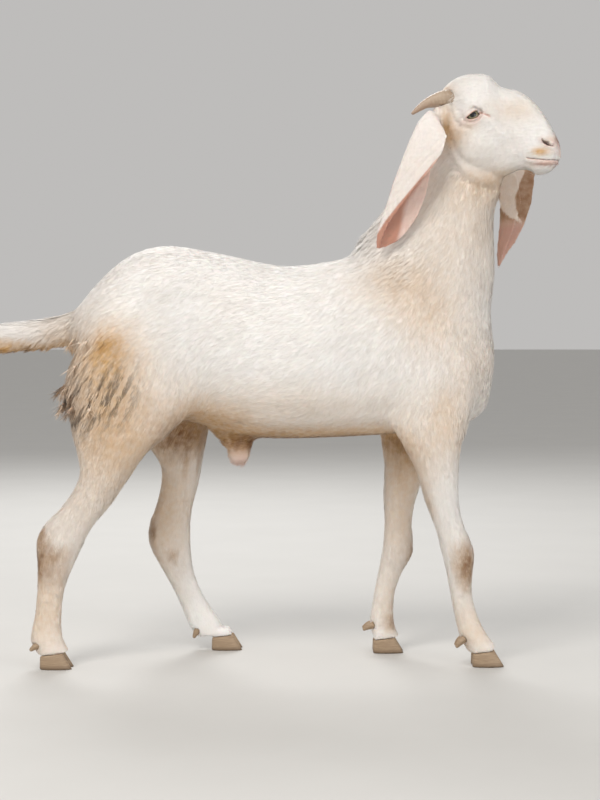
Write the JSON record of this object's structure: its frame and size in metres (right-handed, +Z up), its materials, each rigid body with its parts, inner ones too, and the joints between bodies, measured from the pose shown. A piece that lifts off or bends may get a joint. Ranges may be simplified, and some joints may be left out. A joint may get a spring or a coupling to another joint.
{
  "type": "standing young goat",
  "caption": "Life-size still model of a long-eared young buck goat standing in mid-step, with short swept horns, a Roman nose and a short pale coat.",
  "frame": {"origin": "centre of the bounding box's footprint, at the level of the soles", "axes": "+X towards the nose, +Y to the animal's left, +Z up"},
  "size_m": [0.9379, 0.207, 0.934],
  "materials": {
    "coat": "short smooth hair, warm white with ochre and brown stains",
    "ear_leaf": "thin leaf with short hair outside and bare pink skin inside",
    "bare_skin": "soft skin with sparse hair",
    "horn": "dry horn with fine rings",
    "hoof_horn": "dull hoof horn with growth rings",
    "eyeball": "wet and glossy"
  },
  "bodies": {
    "root": {"ear_left": "ear_leaf", "ear_right": "ear_leaf", "eye_left": "eyeball", "eye_right": "eyeball", "fore_left_cannon": "coat", "fore_left_claw_inner": "hoof_horn", "fore_left_claw_outer": "hoof_horn", "fore_left_dewclaw_inner": "hoof_horn", "fore_left_dewclaw_outer": "hoof_horn", "fore_left_forearm": "coat", "fore_left_pastern": "coat", "fore_right_cannon": "coat", "fore_right_claw_inner": "hoof_horn", "fore_right_claw_outer": "hoof_horn", "fore_right_dewclaw_inner": "hoof_horn", "fore_right_dewclaw_outer": "hoof_horn", "fore_right_forearm": "coat", "fore_right_pastern": "coat", "head": "coat", "hind_left_cannon": "coat", "hind_left_claw_inner": "hoof_horn", "hind_left_claw_outer": "hoof_horn", "hind_left_dewclaw_inner": "hoof_horn", "hind_left_dewclaw_outer": "hoof_horn", "hind_left_gaskin": "coat", "hind_left_pastern": "coat", "hind_right_cannon": "coat", "hind_right_claw_inner": "hoof_horn", "hind_right_claw_outer": "hoof_horn", "hind_right_dewclaw_inner": "hoof_horn", "hind_right_dewclaw_outer": "hoof_horn", "hind_right_gaskin": "coat", "hind_right_pastern": "coat", "horn_left": "horn", "horn_right": "horn", "neck": "coat", "scrotum": "bare_skin", "sheath": "bare_skin", "tail": "coat", "torso": "coat"}
  },
  "joints": []
}
